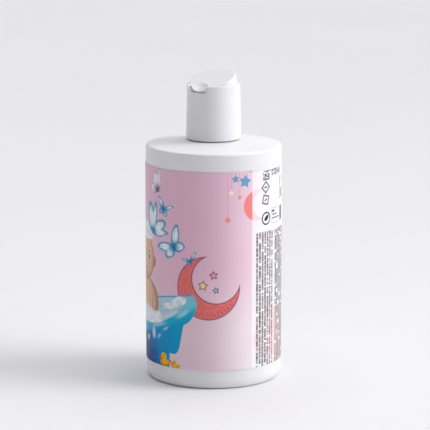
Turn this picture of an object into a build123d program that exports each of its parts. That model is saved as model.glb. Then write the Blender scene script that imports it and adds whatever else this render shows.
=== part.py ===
from build123d import *
from math import cos, radians, sin, sqrt
import os

# A shampoo bottle with a wrap label and a tilting disc-top closure, in millimetres, +Z up.
# The origin is the middle of the foot on the ground. The thumb notch faces -Y and the spout +Y.

# Bottle body
body_radius = 34.7
body_wall = 1.1
shoulder_z = 121.0
shoulder_rise = 2.4
shoulder_round = 1.3
foot_corner_width = 2.9
foot_corner_height = 4.6
foot_land = 1.6
push_up = 2.4
base_arc_radius = 0.55
base_arc_height = 0.72

# Neck finish, 24 mm, 1.5 turns at 8 threads to the inch
neck_radius = 10.65
neck_bore_radius = 8.75
neck_height = 16.9
neck_foot_slope = 0.9
neck_rim_chamfer = 0.3
neck_bore_chamfer = 1.0
thread_pitch = 3.175
thread_turns = 1.5
thread_depth = 1.3
thread_foot_width = 2.1
thread_crest_width = 1.0
thread_below_rim = 2.1
thread_root = 0.5

# Label
label_bottom_z = 9.9
label_top_z = 111.6
label_radius = 35.0
label_thickness = 0.2

# Liner washer
liner_thickness = 0.9
liner_radius = 11.7
liner_hole_radius = 6.2
seat_gap = 0.05

# Cap body
cap_bottom_z = 123.75
cap_top_z = 151.9
cap_bottom_radius = 14.07
cap_top_radius = 13.55
cap_bore_radius = 12.15
cap_band_height = 2.0
cap_band_step = 0.14
cap_edge_round = 0.3
cap_bore_chamfer = 0.5
cap_thread_depth = 1.1
cap_thread_foot_width = 1.6
cap_thread_crest_width = 0.8
deck_thickness = 1.3
chamber_radius = 12.45
notch_top_width = 13.6
notch_bottom_width = 11.0
notch_depth = 3.8
notch_corner = 2.6

# Disc and its hinge
disc_radius = 12.2
disc_clearance = 0.2
disc_proud = 0.9
disc_plate = 1.3
disc_edge_round = 0.6
disc_wall = 1.0
disc_skirt_depth = 9.2
front_skirt_w = -1.2
front_skirt_u = -1.5
rear_skirt_u = 4.5
hinge_y = -5.5
hinge_below_top = 3.0
open_tilt = 19.0
trunnion_radius = 1.0
trunnion_reach = 11.75
trunnion_root = 9.4
socket_start = 8.0
trunnion_gap = 0.05
trunnion_end_gap = 0.1
thumb_dish_depth = 1.5
thumb_dish_radius = 10.0
thumb_dish_y = -11.5
thumb_pad = 1.8
thumb_pad_u = -1.6

# Spout channel and its seal, a cylinder about the hinge axis
seal_radius = 7.0
seal_gap = 0.1
seal_top_angle = 7.4
seal_middle_angle = -17.0
seal_low_angle = -41.3
post_back_u = 1.2
post_root = 0.5
post_half_width = 3.2
channel_half_width = 3.4
channel_radius = 1.0
outlet_radius = 1.6
outlet_depth = 3.0
outlet_below_hinge = 1.0
channel_inlet_angle = -25.0
orifice_bore_radius = 1.6
orifice_u = 3.4
orifice_top_w = -0.2
channel_weld = 0.3

# Heights and centres worked out from the values above
neck_base_z = shoulder_z + shoulder_rise
neck_top_z = neck_base_z + neck_height
liner_bottom_z = neck_top_z + seat_gap
deck_bottom_z = liner_bottom_z + liner_thickness + seat_gap
deck_top_z = deck_bottom_z + deck_thickness
hinge_z = cap_top_z + disc_proud - hinge_below_top
thread_rise = thread_turns * thread_pitch
neck_thread_z = neck_top_z - thread_below_rim - thread_rise
cap_thread_z = neck_thread_z - thread_pitch / 2
foot_radius = body_radius - foot_corner_width
base_arc_z = base_arc_height * push_up

# Sides of the scratch shapes that cut away everything beyond a plane
cutter_size = 40.0


def about_hinge(radius, angle):
    """The u and w of a point on a circle about the hinge axis."""
    return (radius * cos(radians(angle)), radius * sin(radians(angle)))


def thread_profile(path, depth, foot_width, crest_width):
    """The section of a thread across the start of its helix, with its root sunk into the wall."""
    root = thread_root if depth > 0 else -thread_root
    with BuildSketch(Plane(origin=path @ 0, x_dir=(1, 0, 0), z_dir=path % 0)) as profile:
        with BuildLine():
            Polyline(
                (-root, -foot_width / 2),
                (0, -foot_width / 2),
                (depth, -crest_width / 2),
                (depth, crest_width / 2),
                (0, foot_width / 2),
                (-root, foot_width / 2),
                close=True,
            )
        make_face()
    return profile.sketch


# Bottle: one hollow blow moulding with a push-up base and a threaded neck
with BuildPart() as bottle:
    with BuildSketch(Plane.XZ):
        with BuildLine():
            base = ThreePointArc(
                (0, push_up),
                (base_arc_radius * foot_radius, base_arc_z),
                (foot_radius - foot_land, 0),
            )
            Line(base @ 1, (foot_radius, 0))
            EllipticalCenterArc(
                (foot_radius, foot_corner_height),
                foot_corner_width,
                foot_corner_height,
                start_angle=-90,
                arc_size=90,
            )
            Line((body_radius, foot_corner_height), (body_radius, shoulder_z - shoulder_round))
            shoulder_edge = RadiusArc(
                (body_radius, shoulder_z - shoulder_round),
                (body_radius - shoulder_round, shoulder_z),
                -shoulder_round,
            )
            Polyline(
                shoulder_edge @ 1,
                (neck_radius + neck_foot_slope, neck_base_z),
                (neck_radius, neck_base_z + neck_foot_slope),
                (neck_radius, neck_top_z - neck_rim_chamfer),
                (neck_radius - neck_rim_chamfer, neck_top_z),
                (0, neck_top_z),
                (0, push_up),
            )
        make_face()
    revolve(axis=Axis.Z)
    with BuildSketch(Plane.XZ):
        with BuildLine():
            hollow_floor = ThreePointArc(
                (0, push_up + body_wall),
                (base_arc_radius * foot_radius, base_arc_z + body_wall),
                (foot_radius - foot_land, body_wall),
            )
            Line(hollow_floor @ 1, (foot_radius, body_wall))
            EllipticalCenterArc(
                (foot_radius, foot_corner_height),
                foot_corner_width - body_wall,
                foot_corner_height - body_wall,
                start_angle=-90,
                arc_size=90,
            )
            Polyline(
                (body_radius - body_wall, foot_corner_height),
                (body_radius - body_wall, shoulder_z - shoulder_round - body_wall / 2),
                (body_radius - body_wall - shoulder_round, shoulder_z - body_wall),
                (neck_bore_radius + neck_bore_chamfer, neck_base_z - body_wall),
                (neck_bore_radius, neck_base_z),
                (neck_bore_radius, neck_top_z),
                (0, neck_top_z),
                (0, push_up + body_wall),
            )
        make_face()
    revolve(axis=Axis.Z, mode=Mode.SUBTRACT)
    with BuildLine() as neck_helix:
        Helix(thread_pitch, thread_rise, neck_radius, center=(0, 0, neck_thread_z))
    thread = thread_profile(neck_helix.line, thread_depth, thread_foot_width, thread_crest_width)
    sweep(thread, path=neck_helix.line, is_frenet=True)
bottle.part.label = "bottle"

# Label: a thin film wrapped round the body
with BuildPart() as label:
    with BuildSketch(Plane.XY.offset(label_bottom_z)):
        Circle(label_radius)
        Circle(label_radius - label_thickness, mode=Mode.SUBTRACT)
    extrude(amount=label_top_z - label_bottom_z)
label.part.label = "label"

# Liner: the foam washer between the neck rim and the deck of the cap
with BuildPart() as liner:
    with BuildSketch(Plane.XY.offset(liner_bottom_z)):
        Circle(liner_radius)
        Circle(liner_hole_radius, mode=Mode.SUBTRACT)
    extrude(amount=liner_thickness)
liner.part.label = "liner"

# The hinge axis runs along X. The seal post and the disc are drawn in planes through it.
hinge_point = Vector(0, hinge_y, hinge_z)
hinge_axis = Axis(hinge_point, (1, 0, 0))
cap_side_plane = Plane(origin=hinge_point, x_dir=(0, 1, 0), z_dir=(1, 0, 0))
open_inlet_angle = channel_inlet_angle + open_tilt

# Cap body: outer wall, threaded bore, deck with the seal post, trunnion sockets and thumb notch
with BuildPart() as cap_body:
    with BuildSketch(Plane.XZ):
        with BuildLine():
            band_z = cap_bottom_z + cap_band_height
            Polyline(
                (cap_bore_radius + cap_bore_chamfer, cap_bottom_z),
                (cap_bottom_radius - cap_band_step - cap_edge_round, cap_bottom_z),
                (cap_bottom_radius - cap_band_step, cap_bottom_z + cap_edge_round),
                (cap_bottom_radius - cap_band_step, band_z),
                (cap_bottom_radius, band_z + cap_band_step),
                (cap_top_radius, cap_top_z - cap_edge_round),
                (cap_top_radius - cap_edge_round, cap_top_z),
                (chamber_radius + cap_edge_round, cap_top_z),
                (chamber_radius, cap_top_z - cap_edge_round),
                (chamber_radius, deck_top_z),
                (0, deck_top_z),
                (0, deck_bottom_z),
                (cap_bore_radius, deck_bottom_z),
                (cap_bore_radius, cap_bottom_z + cap_bore_chamfer),
                close=True,
            )
        make_face()
    revolve(axis=Axis.Z)
    with BuildLine() as cap_helix:
        Helix(thread_pitch, thread_rise, cap_bore_radius, center=(0, 0, cap_thread_z))
    cap_thread = thread_profile(
        cap_helix.line, -cap_thread_depth, cap_thread_foot_width, cap_thread_crest_width
    )
    sweep(cap_thread, path=cap_helix.line, is_frenet=True)
    with BuildSketch(cap_side_plane):
        with BuildLine():
            post_foot_w = deck_top_z - hinge_z - post_root
            seal_face = ThreePointArc(
                about_hinge(seal_radius, seal_top_angle),
                about_hinge(seal_radius, seal_middle_angle),
                about_hinge(seal_radius, seal_low_angle),
            )
            Polyline(
                seal_face @ 1,
                ((seal_face @ 1).X, post_foot_w),
                (post_back_u, post_foot_w),
                (post_back_u, (seal_face @ 0).Y),
                seal_face @ 0,
            )
        make_face()
    extrude(amount=post_half_width, both=True)
    with BuildSketch(Plane.XY.offset(deck_bottom_z)):
        with Locations((0, hinge_y + orifice_u)):
            Circle(orifice_bore_radius)
    extrude(amount=hinge_z + orifice_top_w - deck_bottom_z, mode=Mode.SUBTRACT)
    exit_direction = Vector(0, *about_hinge(1, open_inlet_angle))
    with BuildSketch(Plane(origin=hinge_point + exit_direction * orifice_u, z_dir=exit_direction)):
        Circle(channel_radius)
    extrude(amount=seal_radius, mode=Mode.SUBTRACT)
    for side in (-1, 1):
        with BuildSketch(cap_side_plane.offset(side * socket_start)):
            Circle(trunnion_radius + trunnion_gap)
        extrude(amount=side * (trunnion_reach + trunnion_end_gap - socket_start), mode=Mode.SUBTRACT)
    with BuildSketch(Plane.XZ.offset(chamber_radius / 2)):
        with BuildLine():
            Polyline(
                (-notch_top_width / 2, cap_top_z + 1),
                (-notch_top_width / 2, cap_top_z),
                (-notch_bottom_width / 2, cap_top_z - notch_depth),
                (notch_bottom_width / 2, cap_top_z - notch_depth),
                (notch_top_width / 2, cap_top_z),
                (notch_top_width / 2, cap_top_z + 1),
                close=True,
            )
        notch_face = make_face()
        fillet(notch_face.vertices().group_by(Axis.Y)[0], notch_corner)
    extrude(amount=chamber_radius, mode=Mode.SUBTRACT)
cap_body.part.label = "cap_body"

# The disc is drawn in its own plane, which is tilted open about the hinge axis.
# In it u runs to the spout, w is square to the plate, and both start at the hinge.
disc_plane = Plane(
    origin=hinge_point,
    x_dir=(1, 0, 0),
    z_dir=(0, -sin(radians(open_tilt)), cos(radians(open_tilt))),
)
disc_side_plane = Plane(origin=hinge_point, x_dir=disc_plane.y_dir, z_dir=disc_plane.x_dir)
disc_centre_u = -hinge_y
disc_centre = disc_plane.from_local_coords(Vector(0, disc_centre_u, 0))
disc_axis = Axis(disc_centre, disc_plane.z_dir)
plate_top = hinge_below_top
plate_bottom = plate_top - disc_plate
skirt_bottom = plate_top - disc_skirt_depth

# Swing room: below the hinge, what lies outside the sweep of the disc's rim would hit the wall
with BuildPart() as swing_room:
    with BuildSketch(disc_side_plane):
        Rectangle(cutter_size, cutter_size, align=(Align.MIN, Align.MAX))
    extrude(amount=cutter_size / 2, both=True)
    with BuildSketch(disc_plane):
        with Locations((0, disc_centre_u)):
            Circle(disc_radius)
        Rectangle(cutter_size, cutter_size, align=(Align.CENTER, Align.MAX), mode=Mode.SUBTRACT)
    revolve(axis=hinge_axis, mode=Mode.SUBTRACT)

# Disc: plate, skirt, thumb dish, spout channel and trunnions in one moulding
with BuildPart() as disc:
    with BuildSketch(disc_side_plane):
        with BuildLine():
            rim_u = disc_centre_u + disc_radius
            edge = RadiusArc(
                (rim_u - disc_edge_round, plate_top),
                (rim_u, plate_top - disc_edge_round),
                disc_edge_round,
            )
            Polyline(
                edge @ 1,
                (rim_u, skirt_bottom),
                (rim_u - disc_wall, skirt_bottom),
                (rim_u - disc_wall, plate_bottom),
                (disc_centre_u, plate_bottom),
                (disc_centre_u, plate_top),
                edge @ 0,
            )
        make_face()
    revolve(axis=disc_axis)
    with BuildSketch(disc_side_plane):
        with BuildLine():
            Polyline(
                (-disc_radius, front_skirt_w),
                (front_skirt_u, front_skirt_w),
                (rear_skirt_u, skirt_bottom),
                (rear_skirt_u, skirt_bottom - 1),
                (-disc_radius, skirt_bottom - 1),
                close=True,
            )
        make_face()
    extrude(amount=cutter_size / 2, both=True, mode=Mode.SUBTRACT)
    with BuildSketch(disc_plane.offset(plate_bottom - thumb_pad)):
        with Locations((0, disc_centre_u)):
            Circle(disc_radius - disc_wall / 2)
        with Locations((0, thumb_pad_u)):
            Rectangle(cutter_size, cutter_size, align=(Align.CENTER, Align.MIN), mode=Mode.SUBTRACT)
    extrude(amount=thumb_pad + disc_plate / 2)
    with BuildSketch(disc_side_plane):
        with BuildLine():
            inner_seal = seal_radius + seal_gap
            channel_face = ThreePointArc(
                (sqrt(inner_seal**2 - plate_bottom**2), plate_bottom),
                about_hinge(inner_seal, seal_middle_angle),
                about_hinge(inner_seal, seal_low_angle),
            )
            Polyline(
                channel_face @ 1,
                (rim_u - disc_wall / 2, (channel_face @ 1).Y),
                (rim_u - disc_wall / 2, plate_bottom + channel_weld),
                ((channel_face @ 0).X, plate_bottom + channel_weld),
                channel_face @ 0,
            )
        make_face()
    extrude(amount=channel_half_width, both=True)
    inlet_u, inlet_w = about_hinge(inner_seal, channel_inlet_angle)
    inlet_point = disc_plane.from_local_coords(Vector(0, inlet_u, inlet_w))
    outlet_point = disc_plane.from_local_coords(Vector(0, rim_u, -outlet_below_hinge))
    channel_direction = (outlet_point - inlet_point).normalized()
    with BuildSketch(Plane(origin=inlet_point - channel_direction, z_dir=channel_direction)):
        Circle(channel_radius)
    extrude(amount=(outlet_point - inlet_point).length + outlet_depth, mode=Mode.SUBTRACT)
    with BuildSketch(Plane(origin=outlet_point + channel_direction, z_dir=-channel_direction)):
        Circle(outlet_radius)
    extrude(amount=outlet_depth + 1, mode=Mode.SUBTRACT)
    add(swing_room.part, mode=Mode.SUBTRACT)
    with BuildSketch(Plane.XY.offset(deck_top_z)):
        Circle(chamber_radius - disc_clearance)
    extrude(amount=cutter_size, mode=Mode.INTERSECT)
    dish_centre = disc_plane.from_local_coords(
        Vector(0, thumb_dish_y - hinge_y, plate_top - thumb_dish_depth + thumb_dish_radius)
    )
    with Locations(dish_centre):
        Sphere(thumb_dish_radius, mode=Mode.SUBTRACT)
    for side in (-1, 1):
        with BuildSketch(disc_side_plane.offset(side * trunnion_root)):
            Circle(trunnion_radius)
        extrude(amount=side * (trunnion_reach - trunnion_root))
disc.part.label = "disc"

os.makedirs("parts", exist_ok=True)
export_step(bottle.part, "parts/bottle.step")
export_step(label.part, "parts/label.step")
export_step(liner.part, "parts/liner.step")
export_step(cap_body.part, "parts/cap_body.step")
export_step(disc.part, "parts/disc.step")
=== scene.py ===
from math import atan2, cos, degrees, pi, radians, sin

import bmesh
import bpy
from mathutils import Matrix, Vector


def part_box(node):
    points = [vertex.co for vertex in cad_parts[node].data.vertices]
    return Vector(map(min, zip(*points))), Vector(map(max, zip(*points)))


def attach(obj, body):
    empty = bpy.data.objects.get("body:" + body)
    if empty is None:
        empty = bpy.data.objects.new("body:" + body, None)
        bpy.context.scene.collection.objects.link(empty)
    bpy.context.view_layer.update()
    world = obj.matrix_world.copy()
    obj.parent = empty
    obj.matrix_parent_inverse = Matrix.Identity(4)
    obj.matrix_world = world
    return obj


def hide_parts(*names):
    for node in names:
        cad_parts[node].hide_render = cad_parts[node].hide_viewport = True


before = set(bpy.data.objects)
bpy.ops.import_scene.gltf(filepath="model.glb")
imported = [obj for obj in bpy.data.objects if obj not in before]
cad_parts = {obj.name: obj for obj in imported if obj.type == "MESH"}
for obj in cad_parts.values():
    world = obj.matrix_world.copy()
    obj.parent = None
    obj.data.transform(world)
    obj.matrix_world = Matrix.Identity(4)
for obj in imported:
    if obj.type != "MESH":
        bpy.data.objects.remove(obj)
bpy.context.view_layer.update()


# Bottle: one hollow blow moulding of white polyethylene, with a pushed-up base and a threaded neck.
# The two mould halves meet in a fine raised line on each side, and the skin is faintly pebbled.
class Ink:
    """A socket of a material, so that shader maths reads as plain arithmetic."""

    def __init__(self, tree, socket):
        self.tree = tree
        self.socket = socket

    def node(self, kind, *inputs, output=0, stops=None, **settings):
        """Adds any node, sets it up, then gives its sockets their values or links."""
        made = self.tree.nodes.new("ShaderNode" + kind)
        for name, setting in settings.items():
            setattr(made, name, setting)
        if stops:
            ramp = made.color_ramp
            while len(ramp.elements) < len(stops):
                ramp.elements.new(1.0)
            for element, (place, colour) in zip(ramp.elements, stops):
                element.position = place
                element.color = colour
        for socket, value in zip(made.inputs, inputs):
            if isinstance(value, Ink):
                self.tree.links.new(value.socket, socket)
            elif value is not None:
                socket.default_value = value
        return Ink(self.tree, made.outputs[output])

    def maths(self, operation, *others):
        return self.node("Math", self, *others, operation=operation)

    def __add__(self, other):
        return self.maths("ADD", other)

    def __sub__(self, other):
        return self.maths("SUBTRACT", other)

    def __rsub__(self, other):
        return self.maths("MULTIPLY_ADD", -1.0, other)

    def __mul__(self, other):
        return self.maths("MULTIPLY", other)

    def __abs__(self):
        return self.maths("ABSOLUTE")

    def __and__(self, other):
        """Where two masks overlap."""
        return self.maths("MULTIPLY", other)

    def __or__(self, other):
        """Where either of two masks is."""
        return self.maths("MAXIMUM", other)

    def __invert__(self):
        """Where a mask is not."""
        return self.maths("MULTIPLY_ADD", -1.0, 1.0)

    __radd__ = __add__
    __rmul__ = __mul__

    def covered(self, colour, mask):
        """This colour with another laid over it where the mask is 1."""
        other_kinds = [None] * 5
        return self.node("Mix", mask, *other_kinds, self, colour, output=2, data_type="RGBA")

    def below(self, limit, soft):
        """1 where this number is under the limit, fading to 0 over the soft width."""
        ends = (limit + soft / 2, limit - soft / 2)
        return self.node("MapRange", self, *ends, interpolation_type="SMOOTHSTEP", clamp=False)

    def above(self, limit, soft):
        return self.below(limit, -soft)

    def noise(self, scale, detail=2.0, roughness=0.5):
        return self.node("TexNoise", self, None, scale, detail, roughness)


def dye(red, green, blue):
    """A colour as a printer's chart gives it, from 0 to 255, made linear."""
    toe, toe_divisor = 10, 3295
    linear = [
        ((part / 255 + 0.055) / 1.055) ** 2.4 if part > toe else part / toe_divisor
        for part in (red, green, blue)
    ]
    return (*linear, 1.0)


def new_material(name, roughness):
    """An empty material: its shader, and the object coordinates that its patterns follow."""
    material = bpy.data.materials.new(name)
    material.use_nodes = True
    shader = material.node_tree.nodes["Principled BSDF"]
    shader.inputs["Roughness"].default_value = roughness
    coordinates = material.node_tree.nodes.new("ShaderNodeTexCoord")
    return material, shader, Ink(material.node_tree, coordinates.outputs["Object"])


def feed(shader, socket_name, value):
    value.tree.links.new(value.socket, shader.inputs[socket_name])


def bump(height, distance):
    """Tilts the surface by a height between 0 and 1, times a distance in metres."""
    return height.node("Bump", 1.0, distance, None, height)


skin_depth = 0.00003


def moulded_white(name, white, roughness, grain, line_height):
    """White moulded plastic with flow-mottled colour, a pebbled skin and a mould line at y = 0."""
    material, shader, place = new_material(name, roughness)
    mottle = place.noise(60.0, 3.0, 0.55)
    duller = [part - 3 for part in white]
    shade = mottle.node("ValToRGB", mottle, stops=[(0.3, dye(*duller)), (0.7, dye(*white))])
    feed(shader, "Base Color", shade)
    rubbed = place.noise(140.0, 4.0, 0.6)
    rub_range = 0.10
    feed(shader, "Roughness", rubbed * rub_range + (roughness - rub_range / 2))
    line_half_width, line_fade = 0.00012, 0.00018
    from_seam = abs(place.node("SeparateXYZ", place, output=1))
    mould_line = from_seam.below(line_half_width, line_fade)
    skin = place.noise(grain, 2.0, 0.5) * 0.5 + mould_line * line_height
    feed(shader, "Normal", bump(skin, skin_depth))
    return material


def dress(node, material):
    """Gives a part of the frame its material."""
    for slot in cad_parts[node].material_slots:
        slot.material = material


dress(
    "bottle",
    moulded_white(
        "blown_polyethylene", white=(236, 236, 238), roughness=0.40, grain=700.0, line_height=1.6
    ),
)


# Cap body: an injection moulding of white polypropylene, smooth sided, with a fine step above its
# bottom edge, a deck inside that carries the seal post, and the thumb notch cut in its rim.
dress(
    "cap_body",
    moulded_white(
        "cap_polypropylene", white=(237, 237, 239), roughness=0.33, grain=1500.0, line_height=0.5
    ),
)


# Disc: a second polypropylene moulding that snaps into the cap body on its own trunnions.
# Its plate is dished for the thumb and carries the small round mark left by the mould's gate.
def disc_plastic():
    material, shader, place = new_material("disc_polypropylene", 0.30)
    mottle = place.noise(80.0, 3.0, 0.55)
    shade = mottle.node(
        "ValToRGB", mottle, stops=[(0.3, dye(235, 235, 237)), (0.7, dye(239, 239, 241))]
    )
    feed(shader, "Base Color", shade)
    rubbed = place.noise(220.0, 4.0, 0.6)
    feed(shader, "Roughness", rubbed * 0.12 + 0.24)
    disc_low, disc_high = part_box("disc")
    gate_behind, gate_down, gate_radius = 0.001, 0.002, 0.0024
    gate_y = (disc_low.y + disc_high.y) / 2 + gate_behind
    gate_middle = (0.0, gate_y, disc_high.z - gate_down)
    from_gate = place.node("VectorMath", place, gate_middle, operation="DISTANCE", output=1)
    gate_ring = abs(from_gate - gate_radius).below(0.00012, 0.0002)
    skin = place.noise(1800.0, 2.0, 0.5) * 0.4 + gate_ring * 0.5
    feed(shader, "Normal", bump(skin, skin_depth))
    return material


dress("disc", disc_plastic())


# Liner: a washer punched from closed-cell foam, pressed between the neck's rim and the deck.
# Its cut faces show the cells, each coloured darker in its pit as painted shade.
def liner_foam():
    material, shader, place = new_material("liner_foam", 0.85)
    cells_per_metre, cell_depth = 2500.0, 0.0001
    cells = place.node("TexVoronoi", place, None, cells_per_metre)
    # Darker at each cell's middle, where the bump sinks: painted shade in the pits.
    shades = [(0.0, dye(222, 222, 216)), (1.0, dye(244, 244, 240))]
    feed(shader, "Base Color", cells.node("ValToRGB", cells, stops=shades))
    feed(shader, "Normal", bump(cells, cell_depth))
    return material


dress("liner", liner_foam())


# Label: one printed film wrapped round the body, its left end tucked under the lap at the back.
# It is drawn from a tube with a few columns of faces cut away, and then the end is pushed on
# underneath.
label_low, label_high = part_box("label")
label_radius = label_high.x
label_height = label_high.z - label_low.z
film_thickness = 0.00013
film_columns = 360
column_angle = 2 * pi / film_columns
dip_columns = 3
lap_columns = 8
lap_dip = 0.00015
print_front = radians(-50)
lap_edge = print_front + pi

bpy.ops.object.select_all(action="DESELECT")
bpy.ops.mesh.primitive_cylinder_add(
    vertices=film_columns,
    radius=label_radius,
    depth=label_height,
    end_fill_type="NOTHING",
    location=(0, 0, label_low.z + label_height / 2),
)
label = bpy.context.object
label.name = "label_film"
bpy.ops.object.transform_apply(location=True, rotation=True, scale=True)


def past_lap(point):
    """How far round a point is from the lap's edge, from 0 to a full turn."""
    return (atan2(point.y, point.x) - lap_edge) % (2 * pi)


bpy.ops.object.mode_set(mode="EDIT")
bpy.ops.mesh.select_mode(type="FACE")
bpy.ops.mesh.select_all(action="DESELECT")
film = bmesh.from_edit_mesh(label.data)
for face in film.faces:
    face.select_set(past_lap(face.calc_center_median()) < dip_columns * column_angle)
bmesh.update_edit_mesh(label.data)
bpy.ops.mesh.delete(type="FACE")
bpy.ops.mesh.select_mode(type="EDGE")
bpy.ops.mesh.select_all(action="DESELECT")
film = bmesh.from_edit_mesh(label.data)
for line in film.edges:
    foot, head = line.verts
    is_end = line.is_boundary and abs(foot.co.z - head.co.z) > label_height / 2
    is_far_end = column_angle < past_lap(foot.co) < (dip_columns + 2) * column_angle
    line.select_set(is_end and is_far_end)
bmesh.update_edit_mesh(label.data)
for column in range(dip_columns + lap_columns):
    bpy.ops.mesh.extrude_region_move()
    bpy.ops.transform.rotate(value=column_angle, orient_axis="Z", center_override=(0, 0, 0))
    if column < dip_columns:
        shrink = 1 - lap_dip / label_radius / dip_columns
        bpy.ops.transform.resize(value=(shrink, shrink, 1), center_override=(0, 0, 0))
bpy.ops.mesh.select_all(action="SELECT")
bpy.ops.mesh.normals_make_consistent(inside=False)
bpy.ops.object.mode_set(mode="OBJECT")
film_wall = label.modifiers.new("film", "SOLIDIFY")
film_wall.thickness = film_thickness
film_wall.offset = -1
bpy.ops.object.modifier_apply(modifier="film")
bpy.ops.object.shade_smooth_by_angle(angle=radians(30))

# The print is laid out on the unrolled film: across is the way round from the front, up is the
# height, both in mm.
label_print, label_shader, label_place = new_material("label_print", 0.38)
facing = label_place.node("Mapping", label_place, (0, 0, 0), (0, 0, -print_front))
ahead = facing.node("SeparateXYZ", facing, output=0)
aside = facing.node("SeparateXYZ", facing, output=1)
mm_per_metre = 1000
across = aside.maths("ARCTAN2", ahead) * (label_radius * mm_per_metre)
up = label_place.node("SeparateXYZ", label_place, output=2) * mm_per_metre
sheet = across.node("CombineXYZ", across, up)
edge = 0.3


def laid(centre, size=(1, 1), turn=0.0):
    """The sheet seen from a mark's own middle, turned, with the mark's half sizes as 1."""
    turned = sheet
    if turn:
        pivot, angle = (*centre, 0), -radians(turn)
        turned = sheet.node("VectorRotate", sheet, pivot, None, angle, rotation_type="Z_AXIS")
    scale = (1 / size[0], 1 / size[1], 0)
    shift = (-centre[0] / size[0], -centre[1] / size[1], 0)
    return turned.node("VectorMath", turned, scale, shift, operation="MULTIPLY_ADD")


def reach(place):
    return place.node("VectorMath", place, operation="LENGTH", output=1)


def spot(centre, size, turn=0.0, soft=edge):
    """A filled ellipse."""
    return reach(laid(centre, size, turn)).below(1.0, soft / min(size))


def ring(centre, size, width, turn=0.0):
    """The line of an ellipse."""
    away = abs(reach(laid(centre, size, turn)) - 1.0)
    return away.below(width / 2 / min(size), edge / min(size))


def bar(centre, size, turn=0.0, rounding=0.0):
    """A filled rectangle with rounded corners."""
    rounding = max(rounding, edge / 2)
    inner = [side - rounding for side in size]
    local = laid(centre, (1, 1), turn)
    beyond = local.node("VectorMath", local, operation="ABSOLUTE")
    beyond = beyond.node("VectorMath", beyond, (*inner, 0), operation="SUBTRACT")
    beyond = beyond.node("VectorMath", beyond, (0, 0, 0), operation="MAXIMUM")
    return reach(beyond).below(rounding, edge)


def crescent(outer, outer_radius, bite, bite_radius):
    """How far a point is outside one circle with another bitten out of it."""
    hollow = bite_radius - reach(laid(bite))
    return (reach(laid(outer)) - outer_radius).maths("MAXIMUM", hollow)


def star(centre, size, turn):
    """How far out a point is on a five-pointed star whose tips are at 1."""
    local = laid(centre, (size, size), turn)
    x = local.node("SeparateXYZ", local, output=0)
    y = local.node("SeparateXYZ", local, output=1)
    folded = x.maths("ARCTAN2", y).maths("PINGPONG", pi / 5)
    side_lean = radians(59.8)
    return reach(local) * (folded - side_lean).maths("COSINE") * (1 / cos(side_lean))


# Ground of the print: pink at the left, fading to lilac white at the right, with a soft wash.
wash = sheet.noise(0.035, 3.0, 0.5)
fine_wash = sheet.noise(0.6, 4.0, 0.6)
fade_per_mm, fade_at_front, wash_share = 0.0091, 0.40, 0.12
fade = across * fade_per_mm + wash * wash_share + fade_at_front
upper_tone = fade.node(
    "ValToRGB",
    fade,
    stops=[
        (0.00, dye(234, 196, 214)),
        (0.30, dye(232, 186, 206)),
        (0.48, dye(234, 192, 212)),
        (0.62, dye(241, 208, 226)),
        (0.72, dye(247, 229, 238)),
        (1.00, dye(250, 244, 248)),
    ],
)
lower_tone = fade.node(
    "ValToRGB",
    fade,
    stops=[
        (0.20, dye(232, 204, 216)),
        (0.45, dye(236, 212, 222)),
        (0.60, dye(245, 230, 237)),
        (1.00, dye(251, 246, 249)),
    ],
)
paler_below, paler_fade = 40.0, 46.0
colour = upper_tone.covered(lower_tone, (up - wash * 12.0).below(paler_below, paler_fade))

# Hanging mobile: coral threads from a wooden hoop, with stars and beads on them.
coral = dye(246, 150, 148)
sky_blue = dye(108, 170, 204)
thread_half_width = 0.16
thread_feet = ((7.2, 88.0), (9.2, 102.5), (11.2, 108.0), (13.4, 99.0), (15.6, 108), (17.4, 108))
for thread_across, foot in thread_feet:
    half = (label_high.z * mm_per_metre - foot) / 2
    thread = bar((thread_across, foot + half), (thread_half_width, half))
    colour = colour.covered(coral, thread * 0.85)
for bead, bead_radius in (((7.2, 87.4), 1.4), ((13.4, 98.7), 1.0)):
    colour = colour.covered(coral, spot(bead, (bead_radius, bead_radius)))
colour = colour.covered(dye(214, 178, 140), ring((22.6, 118.6), (9.0, 7.6), 0.8))
for hung, size, turn, fill in (
    ((11.2, 108.1), 2.2, 6, sky_blue),
    ((16.4, 106.6), 3.6, -8, sky_blue),
    ((9.1, 101.2), 1.6, 0, dye(250, 238, 214)),
):
    colour = colour.covered(fill, star(hung, size, turn).below(1.0, edge / size))

# Crescent moons: two circles, one bitten out of the other, the large one with a plum ink line
# and short strokes of shading along its back. Three outlined stars stand by it.
plum = dye(118, 60, 120)
side_moon = crescent((23.6, 93.8), 7.9, (27.9, 94.2), 7.0)
low_moon = crescent((28.0, 24.0), 7.0, (32.0, 25.0), 6.4)
moon_middle, moon_radius = (-2.8, 52.6), 16.2
moon = crescent(moon_middle, moon_radius, (1.5, 57.4), 12.7)
moon_tone = fine_wash.node(
    "ValToRGB", fine_wash, stops=[(0.35, dye(226, 108, 104)), (0.65, dye(238, 126, 120))]
)
colour = colour.covered(dye(248, 140, 136), side_moon.below(0.0, edge))
colour = colour.covered(dye(250, 196, 192), low_moon.below(0.0, edge))
colour = colour.covered(moon_tone, moon.below(0.0, edge))
moon_local = laid(moon_middle)
moon_out = reach(moon_local)
moon_x = moon_local.node("SeparateXYZ", moon_local, output=0)
moon_y = moon_local.node("SeparateXYZ", moon_local, output=1)
strokes_round, ink_half_width, star_outline = 46, 0.26, 0.8
strokes = (moon_y.maths("ARCTAN2", moon_x) * strokes_round).maths("SINE").above(0.72, 0.3)
strokes = strokes & wash.above(0.5, 0.04)
stroke_band = moon_out.above(13.4, 0.4) & (moon_out - fine_wash * 3.0).below(13.6, 0.4)
colour = colour.covered(plum, strokes & stroke_band & moon.below(-0.5, edge) * 0.5)
colour = colour.covered(plum, abs(moon).below(ink_half_width, edge) * 0.85)
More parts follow.
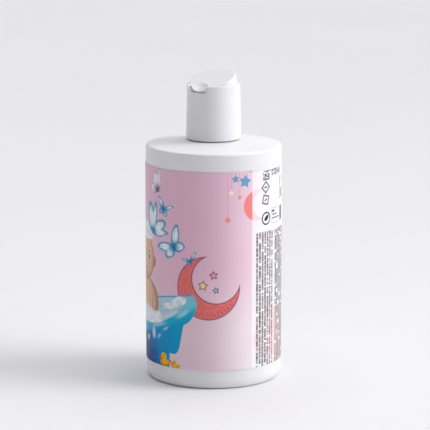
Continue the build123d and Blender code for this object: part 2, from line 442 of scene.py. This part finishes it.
for lit, size, turn, fill in (
    ((0.0, 59.3), 2.5, 8, dye(240, 150, 190)),
    ((-5.4, 53.9), 2.8, -6, dye(246, 226, 130)),
    ((1.2, 51.6), 1.9, 10, dye(160, 206, 236)),
):
    lit_star = star(lit, size, turn)
    colour = colour.covered(plum, lit_star.below(1.0, edge / size))
    colour = colour.covered(fill, lit_star.below(1.0 - star_outline / size, edge / size))

# Bath tub, back half: the far rim and the pale inside. It is drawn the same on both sides of its
# middle, and how far a point is from there decides the rims' heights.
tub_middle = -52.0
tub_x = abs(across - tub_middle)
tub_square = tub_x * tub_x
rim_top = tub_square * tub_x * 0.000275 + 29.8
rim_foot = tub_square * 0.0039 + tub_x * 0.11 + 24.0
back_top = tub_x * 0.161 + 42.6
tub_half_length = 38.0
lip_out, lip_up, lip_size, lip_turn = 36.8, 40.8, (9.0, 5.6), 60
lips = spot((tub_middle + lip_out, lip_up), lip_size, lip_turn)
lips = lips | spot((tub_middle - lip_out, lip_up), lip_size, -lip_turn)
in_length = tub_x.below(tub_half_length, edge)
above_rim_foot = (up - rim_foot).above(0.0, edge)
inside = in_length & (up - back_top).below(0.0, edge) & above_rim_foot
inside = inside | lips
inside_light = fine_wash * 0.5 + wash * 0.9 - tub_x * 0.010 + 0.10
inside_tone = inside_light.node(
    "ValToRGB", inside_light, stops=[(0.30, dye(142, 188, 208)), (0.62, dye(216, 230, 238))]
)
colour = colour.covered(dye(52, 160, 204), inside & (up - back_top).above(-1.0, 0.8))
colour = colour.covered(inside_tone, inside & (up - back_top).below(-0.7, 0.8))

# Child in the tub: shoulders and a round head with ears, on general proportions. The eyes are
# half way up the head, the nose half way from there to the chin, the mouth a third further down.
skin = dye(224, 184, 158)
skin_shade = dye(188, 140, 114)
skin_line = dye(150, 100, 80)
head_x, head_y = -46.5, 64.0
shoulder_y, eye_out, ear_out, cheek_out = 42.0, 4.0, 9.8, 5.2
face_tones = [
    (skin_shade, spot((head_x, shoulder_y), (14.2, 12.4), 0, 0.8), 1.0),
    (skin, spot((head_x - 1.4, shoulder_y + 0.4), (12.4, 11.4), 0, 3.0), 1.0),
]
for side in (1, -1):
    arm_line = spot((head_x + side * 8.4, shoulder_y), (0.6, 6.0), side * -6, 0.8)
    face_tones.append((skin_shade, arm_line, 0.7))
for side in (-1, 1):
    ear = spot((head_x + side * ear_out, head_y - 1.2), (1.9, 2.9), side * -8)
    face_tones.append((skin_shade, ear, 1.0))
face_tones.append((skin_shade, spot((head_x, head_y), (10.0, 12.0), 0, 0.8), 1.0))
face_tones.append((skin, spot((head_x - 0.6, head_y + 0.8), (9.2, 11.0), 0, 3.0), 1.0))
for side in (-1, 1):
    cheek = spot((head_x + side * cheek_out, head_y - 5.4), (2.6, 2.0), 0, 2.4)
    eye_x = head_x + side * eye_out
    eyelid = ring((eye_x, head_y - 0.5), (2.1, 1.7), 0.4) & up.above(head_y + 0.3, 0.4)
    brow = ring((eye_x, head_y + 0.8), (3.0, 2.6), 0.5) & up.above(head_y + 2.6, 0.6)
    face_tones += [
        (dye(236, 164, 142), cheek, 0.6),
        (dye(248, 242, 238), spot((eye_x, head_y), (1.8, 1.0)), 1.0),
        (dye(84, 60, 50), spot((eye_x, head_y), (0.95, 0.95)), 1.0),
        (skin_line, eyelid, 1.0),
        (skin_line, brow, 0.6),
    ]
nose = ring((head_x, head_y - 5.2), (1.4, 1.2), 0.4) & up.below(head_y - 5.4, 0.4)
mouth = ring((head_x, head_y - 6.6), (2.8, 2.2), 0.6) & up.below(head_y - 7.7, 0.5)
face_tones += [(skin_line, nose, 0.8), (dye(190, 96, 90), mouth, 0.9)]
for tone, mask, strength in face_tones:
    colour = colour.covered(tone, mask * strength)

# Foam: rounded heaps of white bubbles on the child's head, along the water and on the lip.
bubbles = sheet.node("TexVoronoi", sheet, None, 0.75)
foam_tone = bubbles.node(
    "ValToRGB", bubbles, stops=[(0.25, dye(248, 250, 252)), (0.8, dye(212, 222, 232))]
)
water_top, water_half_length, water_foot = 34.4, 22.0, 26.0
foam = (up - wash * 5.0 - fine_wash * 2.4).below(water_top, 1.2)
foam = foam & tub_x.below(water_half_length, 4.0) & up.above(water_foot, edge)
for lump, size in (
    ((head_x, 76.6), (9.4, 3.4)),
    ((head_x - 4.5, 78.0), (4.6, 3.6)),
    ((head_x + 1.0, 79.0), (5.0, 3.8)),
    ((head_x + 6.0, 76.8), (3.8, 3.0)),
    ((tub_middle, 36.6), (15.0, 2.4)),
    ((-17.6, 45.4), (3.4, 2.2)),
    ((-20.8, 43.8), (2.2, 2.4)),
    ((-25.0, 41.8), (3.4, 1.6)),
):
    foam = foam | spot(lump, size, 0, 1.0)
colour = colour.covered(foam_tone, foam)

# Bath tub, front half: a glossy belly on a plinth, and the rolled rim that rises into a round
# lip at each end, with pale gleams on them.
belly_foot, plinth_up, plinth_size = 17.2, 13.0, (27.8, 5.0)
belly = (up - rim_foot).below(0.4, edge) & up.above(belly_foot, edge)
for flare, half_length in ((0.2, 29.7), (0.45, 24.5), (1.0, 14.2)):
    belly = belly & (tub_x - up * flare).below(half_length, edge)
belly = belly | bar((tub_middle, plinth_up), plinth_size)
rolled_rim = above_rim_foot & in_length
rolled_rim = (rolled_rim | lips) & (up - rim_top).below(0.0, edge)
belly_light = tub_x * 0.020 + up * 0.012 + wash * 0.5 + fine_wash * 0.25 - 0.64
belly_tone = belly_light.node(
    "ValToRGB",
    belly_light,
    stops=[
        (0.08, dye(10, 52, 120)),
        (0.24, dye(0, 96, 166)),
        (0.42, dye(0, 142, 198)),
        (0.85, dye(0, 162, 208)),
    ],
)
rim_light = (up - rim_foot) * 0.075 + wash * 0.3 + fine_wash * 0.15 + 0.02
rim_tone = rim_light.node(
    "ValToRGB",
    rim_light,
    stops=[
        (0.12, dye(0, 128, 188)),
        (0.34, dye(0, 164, 206)),
        (0.62, dye(24, 178, 214)),
        (0.84, dye(120, 204, 224)),
    ],
)
colour = colour.covered(belly_tone, belly)
colour = colour.covered(rim_tone, rolled_rim)
for gleam, size, turn, strength in (
    ((-37.0, 25.8), (1.7, 2.9), 0, 0.8),
    ((-43.8, 22.2), (2.0, 1.4), 40, 0.7),
    ((-32.0, 25.0), (1.4, 0.7), 40, 0.7),
    ((-27.0, 29.6), (1.6, 0.6), 30, 0.6),
    ((-33.0, 30.8), (5.5, 0.9), 16, 0.5),
    ((-24.0, 37.0), (6.0, 0.9), 22, 0.6),
    ((-16.0, 38.6), (3.6, 1.0), 34, 0.6),
    ((-66.0, 24.6), (2.0, 2.6), -10, 0.7),
    ((-80.0, 36.0), (6.0, 0.9), -22, 0.6),
):
    colour = colour.covered(dye(206, 230, 240), spot(gleam, size, turn, 1.4) * strength)

# Toy ducks: a yellow body with a round head and an orange beak, at the foot of the tub.
for duck_x, duck_y, size, way in (
    (-27.6, 13.4, 1.25, -1),
    (-20.6, 11.7, 0.8, -1),
    (-78.0, 13.0, 1.1, 1),
):
    ahead_by = way * size
    body = spot((duck_x, duck_y - 1.2 * size), (2.8 * size, 1.7 * size))
    tail_place = (duck_x - 2.6 * ahead_by, duck_y - 0.6 * size)
    tail = spot(tail_place, (1.2 * size, 0.6 * size), way * -35)
    face = spot((duck_x + 0.6 * ahead_by, duck_y + 1.2 * size), (1.6 * size, 1.6 * size))
    beak = spot((duck_x + 2.4 * ahead_by, duck_y + 0.4 * size), (1.0 * size, 0.7 * size))
    lit_body = spot((duck_x, duck_y - 0.9 * size), (2.3 * size, 1.1 * size), 0, 0.8)
    eye = spot((duck_x + 0.9 * ahead_by, duck_y + 1.7 * size), (0.3, 0.35))
    colour = colour.covered(dye(198, 136, 8), body | tail)
    colour = colour.covered(dye(240, 190, 24), face | lit_body)
    colour = colour.covered(dye(234, 100, 40), beak)
    colour = colour.covered(dye(40, 30, 30), eye)

# Butterflies: each has a root and a few wings that fan out from it, given by direction, length
# and width. A wing is an ellipse with a slanting cut along its trailing edge, which is on the other
# side if the width is negative. The wings are veined from the root and dyed towards their edges.
butterflies = (
    ((-32.6, 100.4), 1, ((172, 7.4, -4.6), (112, 10.0, -5.8), (84, 11.4, 2.8), (60, 5.2, 2.2))),
    ((-37.4, 78.2), 0, ((104, 15.6, -8.4), (30, 12.6, 6.8), (4, 12.4, 4.2), (80, 16.4, -4.8))),
    ((-28.2, 91.4), 0, ((122, 7.0, -3.4), (14, 7.0, 2.2), (215, 3.8, -2.8), (-62, 4.4, 3.2))),
    ((-21.4, 72.6), 0, ((80, 12.0, 5.0), (186, 11.6, -5.2), (232, 7.6, -5.6), (6, 6.6, 5.4))),
    ((-12.0, 66.4), 0, ((174, 4.8, -1.7), (56, 5.6, 1.8), (236, 2.8, -2.2))),
    ((-60.0, 84.0), 0, ((100, 9.8, 5.0), (170, 9.0, -4.8), (220, 5.4, -4.0), (-30, 5.4, 3.6))),
    ((-72.0, 96.0), 1, ((60, 9.6, 5.0), (10, 7.4, 3.8), (120, 8.8, -4.4), (-40, 5.0, 3.4))),
    ((-86.0, 76.0), 0, ((82, 10.6, -5.6), (28, 9.6, 4.8), (190, 6.4, -4.2), (-36, 6.4, 4.0))),
)
off_sheet = (400, 400)
other_kinds = [None] * 3
root_place = laid(off_sheet)
wing_out = reach(laid(off_sheet))
plum_winged = up * 0.0
bodies = up * 0.0
for root, is_plum, wings in butterflies:
    own = laid(root)
    here = reach(own).below(max(length for direction, length, width in wings) + 1, edge)
    plum_winged = here.node("Mix", here, None, plum_winged, is_plum)
    root_place = root_place.node(
        "Mix", here, *other_kinds, root_place, own, output=1, data_type="VECTOR"
    )
    for direction, length, width in wings:
        middle = (
            root[0] + cos(radians(direction)) * length / 2,
            root[1] + sin(radians(direction)) * length / 2,
        )
        wing = laid(middle, (length / 2, width / 2), direction)
        trailing = wing.node("VectorMath", wing, (0.8, -0.95, 0), operation="DOT_PRODUCT", output=1)
        wing_out = wing_out.maths("MINIMUM", reach(wing).maths("MAXIMUM", trailing))
    lean = radians(wings[0][0] + wings[1][0]) / 2
    body_middle = (root[0] - cos(lean) * 0.5, root[1] - sin(lean) * 0.5)
    bodies = bodies | spot(body_middle, (0.9, 0.5), degrees(lean))
root_x = root_place.node("SeparateXYZ", root_place, output=0)
root_y = root_place.node("SeparateXYZ", root_place, output=1)
veins_round = 22.0
veins = (root_y.maths("ARCTAN2", root_x) * veins_round).maths("SINE").above(0.62, 0.5)
near_root = reach(root_place).below(2.7, 4.4)
dip = wing_out + fine_wash * 0.5 - 0.25
blue_wing = dip.node(
    "ValToRGB",
    dip,
    stops=[
        (0.36, dye(244, 248, 250)),
        (0.60, dye(212, 234, 242)),
        (0.78, dye(70, 184, 212)),
        (0.95, dye(0, 136, 186)),
    ],
)
plum_wing = dip.node(
    "ValToRGB",
    dip,
    stops=[(0.40, dye(248, 245, 248)), (0.80, dye(242, 236, 242)), (1.00, dye(180, 140, 188))],
)
line_colour = plum_winged.node(
    "ValToRGB", plum_winged, stops=[(0.0, dye(0, 124, 182)), (1.0, dye(112, 46, 120))]
)
on_wing = wing_out.below(1.0, 0.14)
colour = colour.covered(blue_wing.covered(plum_wing, plum_winged), on_wing * 0.92)
colour = colour.covered(line_colour, on_wing & veins * 0.22)
colour = colour.covered(line_colour, on_wing & near_root * 0.9)
colour = colour.covered(line_colour, bodies)

# Small print panel: a white veil over the ground, with turned lines of marks that spell nothing.
colour = colour.covered(dye(252, 252, 253), bar((57.0, 60.75), (36.4, 52.0)) * 0.66)
line_pitch, line_shift, line_half_height = 1.93, 0.4, 0.70
line_number = ((across + line_shift) * (1 / line_pitch)).maths("FLOOR")
in_line = (across + line_shift).maths("FLOORED_MODULO", line_pitch)
stroke_row = abs(in_line - line_pitch / 2).below(line_half_height, 0.3)
far_apart = 7.3
letters = line_number.node("CombineXYZ", line_number * far_apart, up)
words = letters.noise(0.42, 0.0).above(0.32, 0.05)
letter_marks = letters.noise(2.3, 1.0, 0.7).above(0.40, 0.12)
first_block = bar((29.9, 44.8), (6.8, 34.8))
second_block = bar((64.0, 44.8), (26.4, 34.8))
darkness = letters.noise(0.12, 1.0) * 0.6 + 0.5
upper_blocks = bar((39.4, 109.3), (5.8, 1.7)) | bar((47.4, 100.0), (2.9, 6.0))
word_rows = stroke_row & words
marks = word_rows & letter_marks
colour = colour.covered(dye(52, 48, 52), marks & first_block & darkness)
colour = colour.covered(dye(58, 56, 60), word_rows & second_block & (letter_marks * 0.5 + 0.45))
colour = colour.covered(dye(70, 68, 72), marks & upper_blocks * 0.95)
colour = colour.covered(dye(246, 180, 178), spot((38.0, 24.0), (6.0, 15.0), 0, 6.0) * 0.3)

# Plain signs beside the small print: a ring with a leaf, a bordered plate, two tiles and a grid.
black = dye(44, 42, 46)
plate_middle = (42.2, 86.8)
plate = bar(plate_middle, (7.4, 4.0), 0, 0.9)
plate_field = bar(plate_middle, (7.1, 3.7), 0, 0.7)
leaf = spot((30.4, 86.4), (2.0, 1.1), 40)
colour = colour.covered(black, ring((30.2, 86.2), (3.0, 3.0), 0.8) | leaf)
colour = colour.covered(dye(120, 118, 122), plate)
colour = colour.covered(dye(250, 248, 250), plate_field)
for bar_place, bar_size in (
    ((37.8, 87.4), (2.4, 0.35)),
    ((39.6, 85.5), (4.2, 0.35)),
    ((36.4, 89.2), (1.4, 0.6)),
    ((46.6, 86.8), (2.0, 3.5)),
):
    colour = colour.covered(black, bar(bar_place, bar_size) * 0.9)
for tile_up, tile_turn in ((102.2, 45), (95.8, 75)):
    tile_middle = (29.8, tile_up)
    tile_frame = bar(tile_middle, (2.5, 2.5), tile_turn, 0.5)
    tile_hole = bar(tile_middle, (1.6, 1.6), tile_turn, 0.4)
    tile_mark = bar(tile_middle, (1.1, 0.5), tile_turn - 45)
    colour = colour.covered(black, (tile_frame & ~tile_hole | tile_mark) * 0.8)
grid = bar((30.2, 108.4), (2.6, 2.6)) & sheet.noise(0.9, 0.0).above(0.44, 0.1)
colour = colour.covered(black, grid * 0.85)

# Back of the print: a pale field with scattered stars up to the lap.
for far_star, size, turn, fill in (
    ((96.0, 98.0), 3.0, 10, sky_blue),
    ((103.0, 84.0), 2.2, -12, dye(246, 226, 130)),
    ((98.0, 66.0), 2.6, 20, dye(240, 150, 190)),
    ((104.0, 46.0), 3.0, 0, sky_blue),
    ((97.0, 28.0), 2.4, 14, dye(246, 226, 130)),
    ((-103.0, 90.0), 2.8, -8, dye(240, 150, 190)),
    ((-101.0, 62.0), 2.4, 12, sky_blue),
):
    colour = colour.covered(fill, star(far_star, size, turn).below(1.0, edge / size))

feed(label_shader, "Base Color", colour)
label_shader.inputs["Specular IOR Level"].default_value = 0.15
film_rub = label_place.noise(90.0, 4.0, 0.6)
feed(label_shader, "Roughness", film_rub * 0.12 + 0.32)
ripple_depth = 0.00005
film_ripple = label_place.noise(45.0, 2.0, 0.4) * 0.8 + label_place.noise(900.0, 1.0, 0.5) * 0.2
feed(label_shader, "Normal", bump(film_ripple, ripple_depth))
label.data.materials.append(label_print)
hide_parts("label")
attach(label, "bottle")


# Studio: a seamless pale floor under a faint bluish air. The key light comes low from the right, a
# broad far one and a nearer one that weakens towards the left, and a very soft one from overhead.
bpy.ops.object.select_all(action="DESELECT")
bpy.ops.mesh.primitive_plane_add(size=12.0, location=(0, 0, 0))
floor = bpy.context.object
floor.name = "studio_floor"
floor_paper, floor_shader, floor_place = new_material("studio_paper", 0.75)
paper = floor_place.noise(4.0, 3.0, 0.5)
paper_shades = [(0.3, dye(227, 227, 230)), (0.7, dye(229, 229, 232))]
feed(floor_shader, "Base Color", paper.node("ValToRGB", paper, stops=paper_shades))
floor.data.materials.append(floor_paper)

view_azimuth = radians(40)
view_right = Vector((cos(view_azimuth), sin(view_azimuth), 0))
view_back = Vector((sin(view_azimuth), -cos(view_azimuth), 0))

world = bpy.data.worlds.new("studio_air")
bpy.context.scene.world = world
world.use_nodes = True
air = world.node_tree.nodes["Background"]
air.inputs["Color"].default_value = (0.97, 0.965, 1.0, 1.0)
skyward = world.node_tree.nodes.new("ShaderNodeTexCoord")
skyward = Ink(world.node_tree, skyward.outputs["Generated"])
to_front = skyward.node("VectorMath", skyward, view_back, operation="DOT_PRODUCT", output=1)
air_strength, air_slope = 0.33, -0.18
air_glow = to_front * air_slope + air_strength
world.node_tree.links.new(air_glow.socket, air.inputs["Strength"])

lit_point = Vector((0, 0, 0.08))


def direction(azimuth, height):
    """A direction from the bottle, azimuth degrees round to the right from the camera's side."""
    round_right = view_right * sin(radians(azimuth)) + view_back * cos(radians(azimuth))
    return round_right * cos(radians(height)) + Vector((0, 0, sin(radians(height))))


def lamp(name, kind, towards, distance, energy):
    bpy.ops.object.light_add(type=kind, location=lit_point + towards * distance)
    made = bpy.context.object
    made.name = name
    made.data.energy = energy
    made.rotation_euler = towards.to_track_quat("Z", "Y").to_euler()
    return made


lamp("key_far", "SUN", direction(83, 29), 2.0, 1.3).data.angle = radians(30)
lamp("top_soft", "SUN", direction(120, 82), 2.0, 1.6).data.angle = radians(70)
lamp("key_near", "AREA", direction(80, 30), 0.9, 2.2).data.size = 0.6

# Camera: a long lens 1.2 m away, forty degrees round to the right of the thumb notch and eleven
# degrees above the horizon.
view_height = 0.0835
view_offset = 0.00072
view_distance = 1.2213
view_pitch = radians(11.0)
aim = view_right * view_offset + Vector((0, 0, view_height))
bpy.ops.object.camera_add()
camera = bpy.context.object
camera.name = "camera"
to_lens = view_back * cos(view_pitch) + Vector((0, 0, sin(view_pitch)))
camera.location = aim + view_distance * to_lens
camera.rotation_euler = (aim - camera.location).to_track_quat("-Z", "Y").to_euler()
camera.data.sensor_width = 36.0
camera.data.lens = 198.9
camera.data.clip_end = 50.0
bpy.context.scene.camera = camera
bpy.context.scene.view_settings.view_transform = "Standard"
